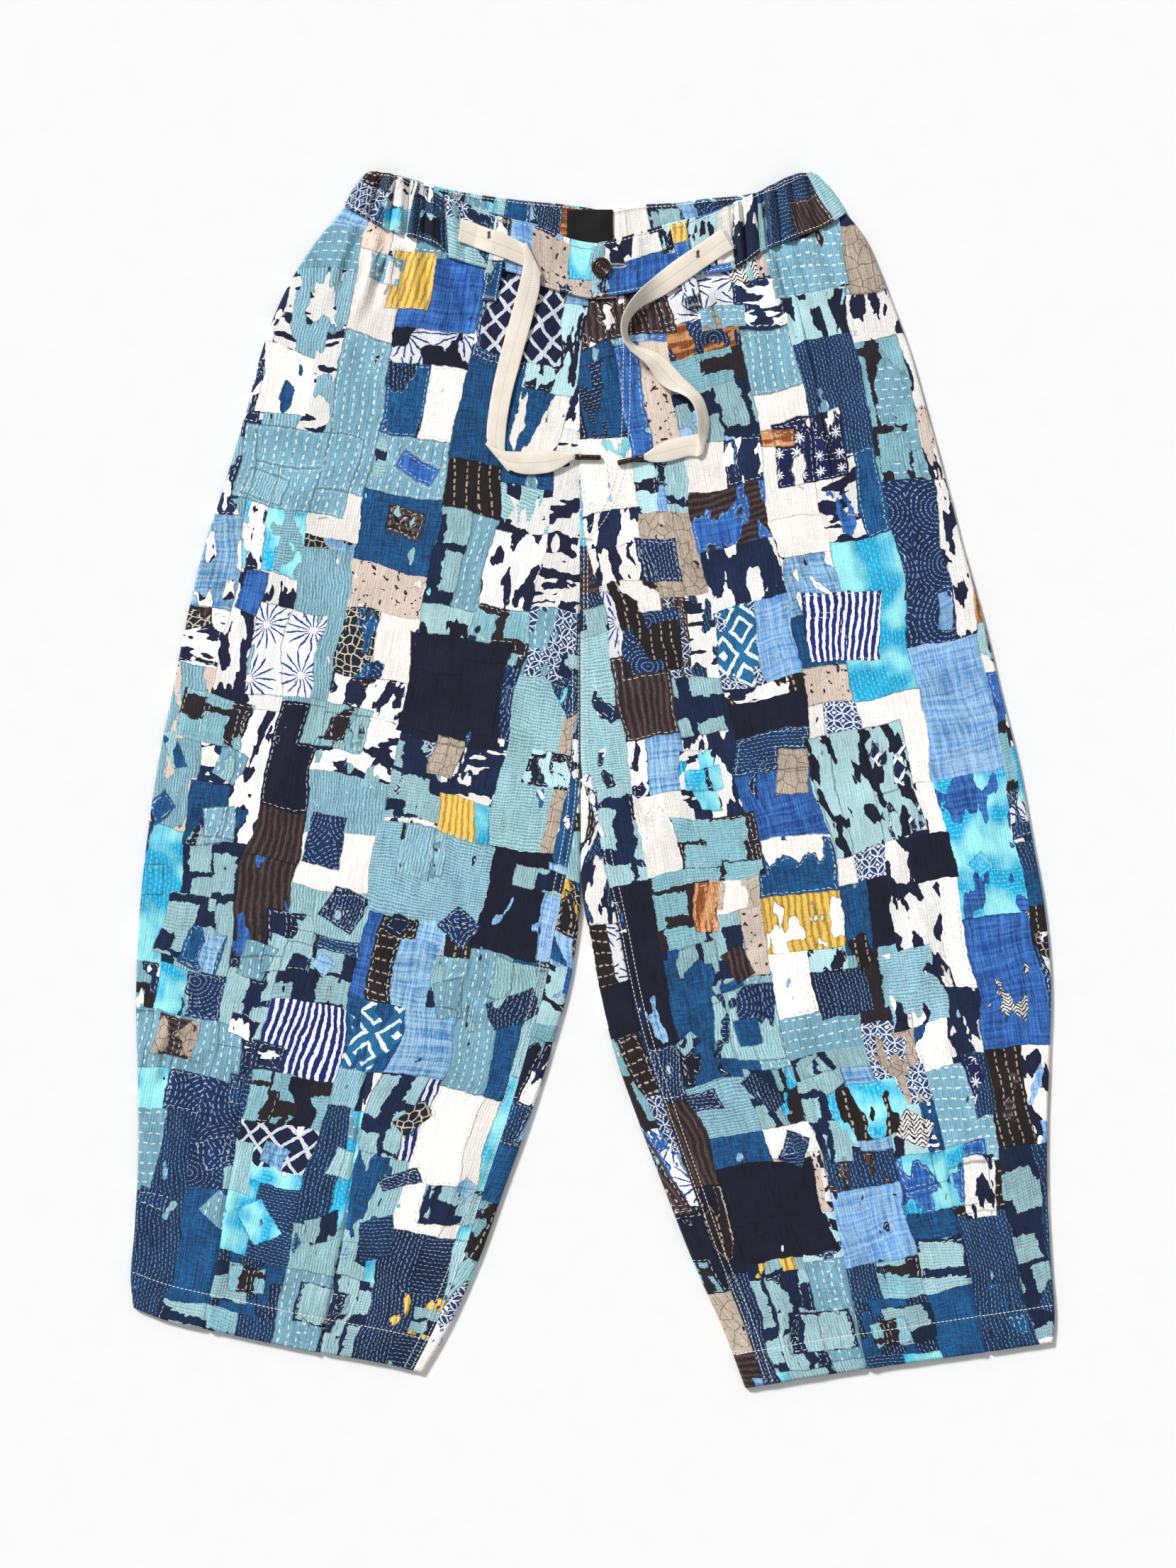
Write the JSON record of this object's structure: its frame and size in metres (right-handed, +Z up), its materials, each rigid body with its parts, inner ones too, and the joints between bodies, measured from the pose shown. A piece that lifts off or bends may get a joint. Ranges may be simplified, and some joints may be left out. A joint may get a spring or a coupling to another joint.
{
  "type": "knickerbockers",
  "caption": "Cropped barrel-leg trousers in patchwork cotton with a gathered waist, buttoned band, pocket slits, hem darts and a tape drawstring, laid flat.",
  "frame": {"origin": "centre of the laid-out trousers' box without the drawstring, on the floor", "axes": "+X to the right seen from above, +Y up to the waist, +Z up from the floor through back and front"},
  "size_m": [0.718, 0.9512, 0.0246],
  "materials": {
    "patchwork_cotton": "printed slub cotton, matt",
    "label_black": "black woven label",
    "tape_cream": "cotton herringbone tape, matt",
    "button_brown": "dark brown, turned rings",
    "aglet_bronze": "dark bronze"
  },
  "bodies": {
    "root": {"front_left": "patchwork_cotton", "front_right": "patchwork_cotton", "back_left": "patchwork_cotton", "back_right": "patchwork_cotton", "band_back": "patchwork_cotton", "band_front_left": "patchwork_cotton", "band_front_right": "patchwork_cotton", "belt_loop_left": "patchwork_cotton", "belt_loop_right": "patchwork_cotton", "label": "label_black", "button": "button_brown", "tape_left": "tape_cream", "tape_right": "tape_cream", "aglet_left": "aglet_bronze", "aglet_right": "aglet_bronze"}
  },
  "joints": []
}
